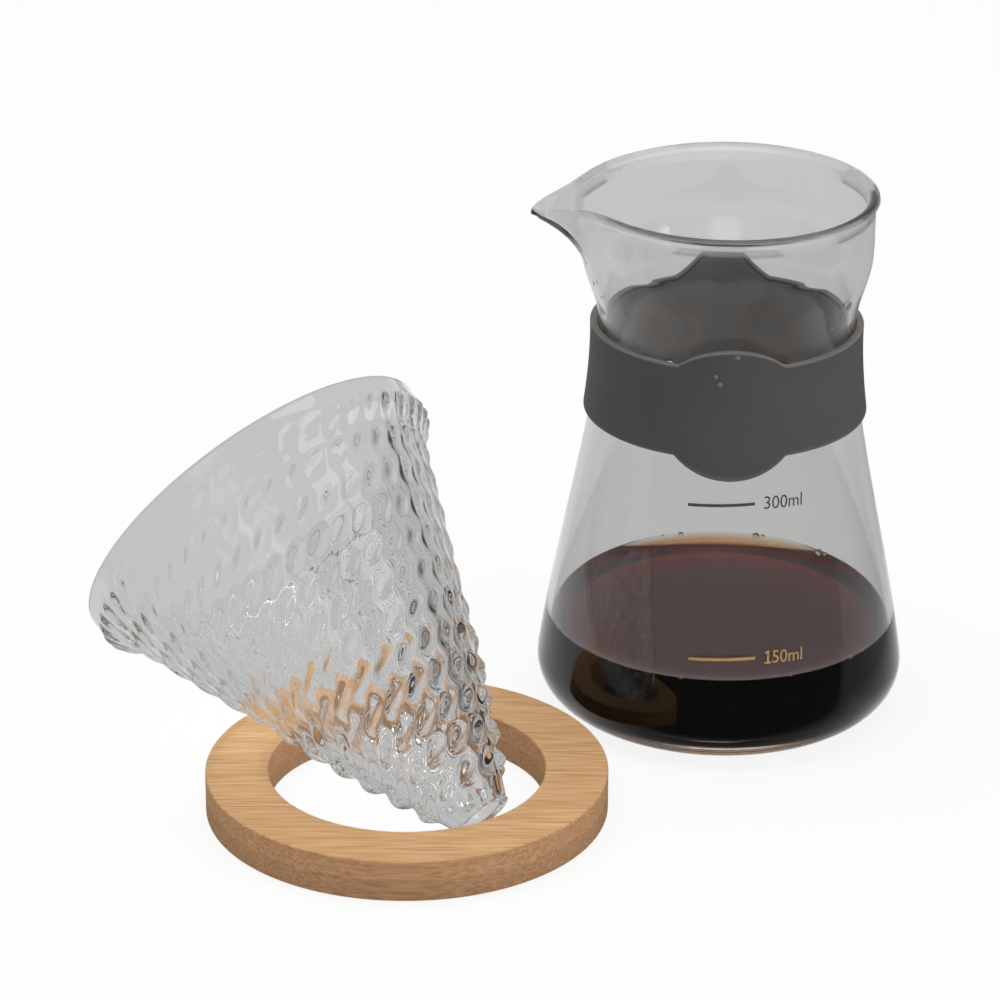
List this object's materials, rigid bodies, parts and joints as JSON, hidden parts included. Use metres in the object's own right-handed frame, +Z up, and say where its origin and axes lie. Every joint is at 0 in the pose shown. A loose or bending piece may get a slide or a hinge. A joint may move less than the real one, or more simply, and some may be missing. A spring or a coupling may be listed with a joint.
{
  "type": "pour-over coffee maker",
  "caption": "Hourglass glass carafe with a pouring lip and a silicone grip band, beside a beaded glass dripper cone that leans in a flat bamboo ring.",
  "frame": {"origin": "centre of the carafe's foot, on the table it stands on", "axes": "+Z up along the carafe's axis, +X to the right in the picture, +Y away from the viewer; the carafe's lip points to about -X"},
  "size_m": [0.198, 0.1568, 0.1333],
  "materials": {
    "clear_glass": "clear, polished",
    "coffee": "dark liquid",
    "grey_silicone": "matte dark grey silicone",
    "beaded_glass": "clear, pressed with beads",
    "bamboo_upper": "sanded bamboo",
    "bamboo_lower": "sanded bamboo"
  },
  "bodies": {
    "carafe": {"carafe_glass": "clear_glass", "brewed_coffee": "coffee"},
    "band": {"grip_band": "grey_silicone"},
    "ring": {"ring_upper_ply": "bamboo_upper", "ring_lower_ply": "bamboo_lower"},
    "dripper": {"dripper_cone": "beaded_glass"}
  },
  "joints": [
    {"name": "band_turn", "type": "hinge", "parent": "carafe", "child": "band", "pos_m": [0, 0, 0.0885], "axis": [0, 0, 1], "continuous": true},
    {"name": "ring_lift", "type": "slide", "parent": "carafe", "child": "ring", "axis": [0, 0, 1], "range_m": [0, 0.15]},
    {"name": "cone_lift", "type": "slide", "parent": "ring", "child": "dripper", "axis": [0, 0, 1], "range_m": [0, 0.12]}
  ]
}
